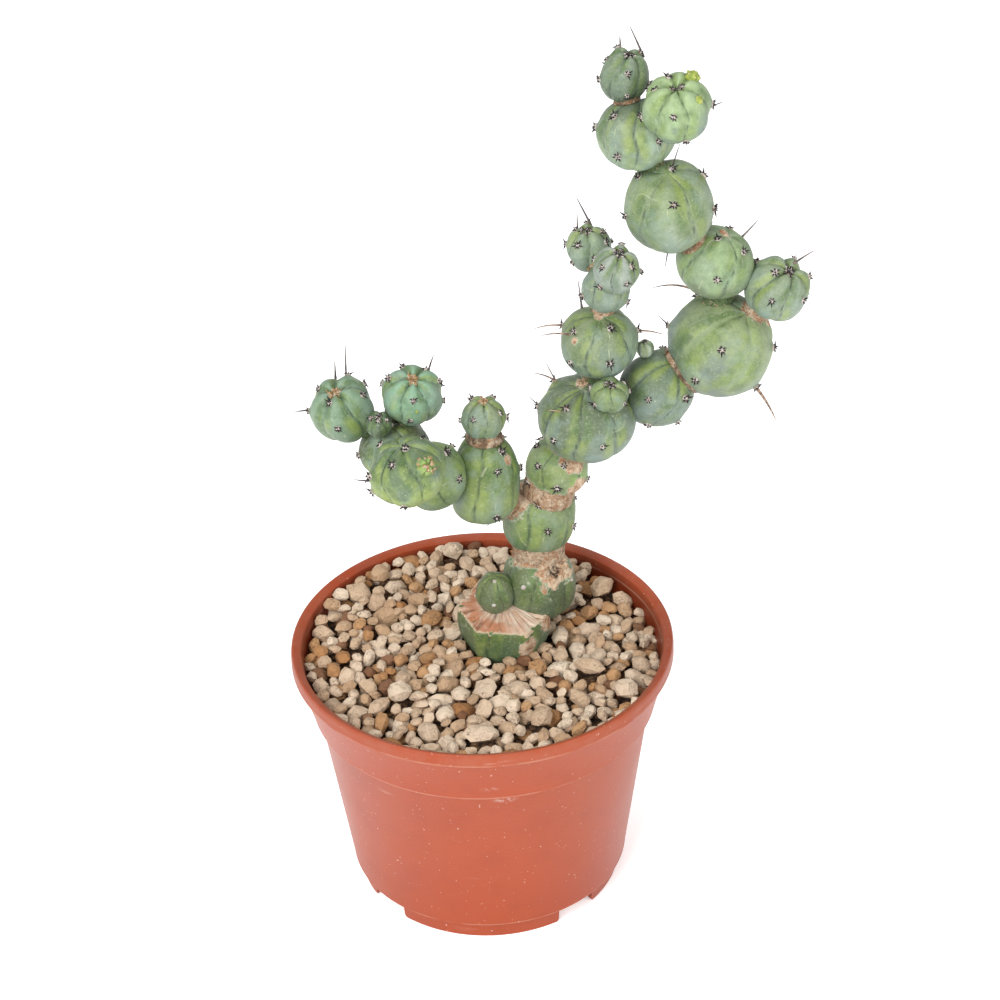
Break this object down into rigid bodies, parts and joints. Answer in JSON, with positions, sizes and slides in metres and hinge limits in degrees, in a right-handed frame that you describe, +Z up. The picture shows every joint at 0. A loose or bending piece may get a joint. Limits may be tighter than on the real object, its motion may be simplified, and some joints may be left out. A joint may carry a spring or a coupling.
{
  "type": "potted candle cactus",
  "caption": "Cactus of rounded, ribbed stem segments in branching arms, rooted in soil under loose pumice, in a tapered plastic nursery pot on short feet.",
  "frame": {"origin": "on the surface that the pot's feet stand on, under the middle of the whole part's bounding box; the pot's own axis is about 31 mm to -X of it", "axes": "+Z up along the pot's axis; -Y is the front, where the front bead of the left arm and the widest view of the three arms face; +X is the side the tall arm leans to"},
  "size_m": [0.2318, 0.17, 0.3859],
  "materials": {
    "pot_plastic": "satin",
    "potting_soil": "matte",
    "pumice": "matte",
    "cactus_skin": "satin",
    "young_skin": "satin",
    "cork": "matte",
    "spine": "satin"
  },
  "bodies": {
    "root": {"pot": "pot_plastic", "potting_soil": "potting_soil", "pumice_dressing": "pumice", "pumice_stone_1": "pumice", "pumice_stone_2": "pumice", "pumice_stone_3": "pumice", "pumice_stone_4": "pumice", "pumice_stone_5": "pumice", "pumice_stone_6": "pumice", "pumice_stone_7": "pumice", "pumice_stone_8": "pumice", "stump": "cork", "trunk_lower": "cactus_skin", "stump_side_shoot": "cactus_skin", "trunk_middle": "cactus_skin", "trunk_upper": "cactus_skin", "trunk_crown": "cactus_skin", "crown_offset": "cactus_skin", "middle_arm_lower": "cactus_skin", "middle_arm_upper": "cactus_skin", "middle_tip_back": "cactus_skin", "middle_tip_front": "cactus_skin", "right_arm_1": "cactus_skin", "right_arm_bud": "cactus_skin", "right_arm_2": "cactus_skin", "right_arm_3": "cactus_skin", "right_side_tip": "cactus_skin", "right_arm_4": "cactus_skin", "right_arm_5": "cactus_skin", "right_tip_back": "cactus_skin", "right_tip_front": "cactus_skin", "left_arm_1": "cactus_skin", "left_arm_top_bead": "cactus_skin", "left_arm_2": "cactus_skin", "left_front_bead": "cactus_skin", "left_arm_3": "cactus_skin", "left_high_tip": "cactus_skin", "left_small_bead": "cactus_skin", "left_end_tip": "cactus_skin", "new_shoot": "young_skin", "spine_end_tip_tall": "spine", "spine_end_tip_short": "spine", "spine_end_tip_side": "spine", "spine_high_tip": "spine", "spine_front_bead": "spine", "spine_highest": "spine", "spine_arm_3": "spine", "spine_side_tip": "spine", "spine_arm_2_long": "spine", "spine_arm_2_low": "spine", "spine_middle_left": "spine", "spine_middle_front": "spine", "spine_middle_back": "spine", "spine_middle_right": "spine", "spine_crown": "spine", "spine_middle_tip": "spine"}
  },
  "joints": []
}
